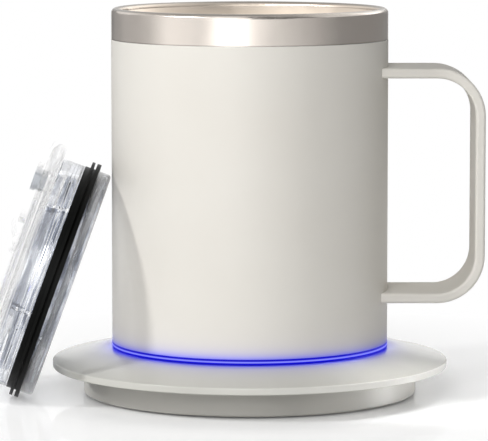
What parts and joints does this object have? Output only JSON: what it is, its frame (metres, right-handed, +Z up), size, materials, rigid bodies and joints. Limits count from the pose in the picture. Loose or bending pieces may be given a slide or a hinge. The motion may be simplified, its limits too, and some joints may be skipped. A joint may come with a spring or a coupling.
{
  "type": "self heating mug",
  "caption": "Straight-sided double-wall heated mug with strap handle, glowing foot ring, charging coaster and clear flip lid leaning beside it.",
  "frame": {"origin": "centre of the flat underside of the coaster's foot pad, below the mug's axis", "axes": "+Z up along the mug's axis, +X towards the handle, +Y towards the power inlet at the back"},
  "size_m": [0.167, 0.129, 0.1261],
  "materials": {
    "coated_steel": "satin powder coat, warm light grey",
    "bare_steel": "satin drawn stainless steel",
    "coaster_plastic": "fine satin moulding, warm light grey",
    "light_guide": "frosted light guide, lit blue",
    "clear_plastic": "clear gloss moulding",
    "black_silicone": "matte silicone",
    "clear_silicone": "translucent silicone",
    "grey_silicone": "matte silicone",
    "base_plastic": "fine texture",
    "frame_plastic": "plain moulding",
    "board": "solder mask",
    "chip": "moulded packages",
    "lamp": "clear lamp bodies",
    "gold_contact": "gold plating",
    "screw_steel": "machined",
    "spring_steel": "drawn wire",
    "nickel": "plain strip",
    "cell_can": "blue sleeve over the can",
    "spreader": "plain plate",
    "film": "amber film",
    "felt": "pressed fibre"
  },
  "bodies": {
    "coaster": {"coaster_top": "coaster_plastic", "coaster_base": "coaster_plastic", "coaster_foot_pad": "black_silicone", "coaster_screws": "screw_steel", "charging_board": "board", "charging_chips": "chip", "power_inlet": "screw_steel", "pin_block": "base_plastic", "centre_pin_spring": "spring_steel", "ring_pin_spring": "spring_steel"},
    "centre_pin": {"contact_pin_centre": "gold_contact"},
    "ring_pin": {"contact_pin_ring": "gold_contact"},
    "mug": {"outer_shell": "coated_steel", "inner_cup": "bare_steel", "handle": "coated_steel", "light_ring": "light_guide", "base_cover": "base_plastic", "base_seal": "black_silicone", "mug_foot_ring": "grey_silicone", "centre_contact": "gold_contact", "ring_contact": "gold_contact", "base_screws": "screw_steel", "button_dome": "clear_silicone", "led_board": "board", "leds": "lamp", "battery_holder": "frame_plastic", "battery_cell_left": "cell_can", "battery_cell_right": "cell_can", "cell_straps": "nickel", "control_board": "board", "control_chips": "chip", "heater_plate": "spreader", "heater_film": "film", "insulation_pad": "felt", "temperature_sensor": "chip"},
    "power_button": {"power_button": "grey_silicone"},
    "lid": {"lid_body": "clear_plastic", "lid_gasket": "black_silicone", "vent_plug": "clear_silicone", "hinge_pin": "clear_plastic"},
    "flip_cap": {"flip_cap": "clear_plastic", "cap_seal": "clear_silicone"}
  },
  "joints": [
    {"name": "mug_lift", "type": "slide", "parent": "coaster", "child": "mug", "axis": [0, 0, 1], "range_m": [0, 0.15]},
    {"name": "power_button_press", "type": "slide", "parent": "mug", "child": "power_button", "axis": [0, 0, 1], "range_m": [0, 0.0006], "stiffness_N_per_m": 1000, "deforming": ["button_dome"]},
    {"name": "centre_pin_press", "type": "slide", "parent": "coaster", "child": "centre_pin", "axis": [0, 0, 1], "range_m": [-0.0012, 0], "stiffness_N_per_m": 400, "deforming": ["centre_pin_spring"]},
    {"name": "ring_pin_press", "type": "slide", "parent": "coaster", "child": "ring_pin", "axis": [0, 0, 1], "range_m": [-0.0012, 0], "stiffness_N_per_m": 400, "deforming": ["ring_pin_spring"]},
    {"name": "lid_lift", "type": "slide", "parent": "coaster", "child": "lid", "axis": [0, 0, 1], "range_m": [0, 0.16]},
    {"name": "flip_cap_hinge", "type": "hinge", "parent": "lid", "child": "flip_cap", "pos_m": [-0.07571, -0.008, 0.04975], "axis": [0, -1, 0], "range_deg": [0, 145]}
  ]
}
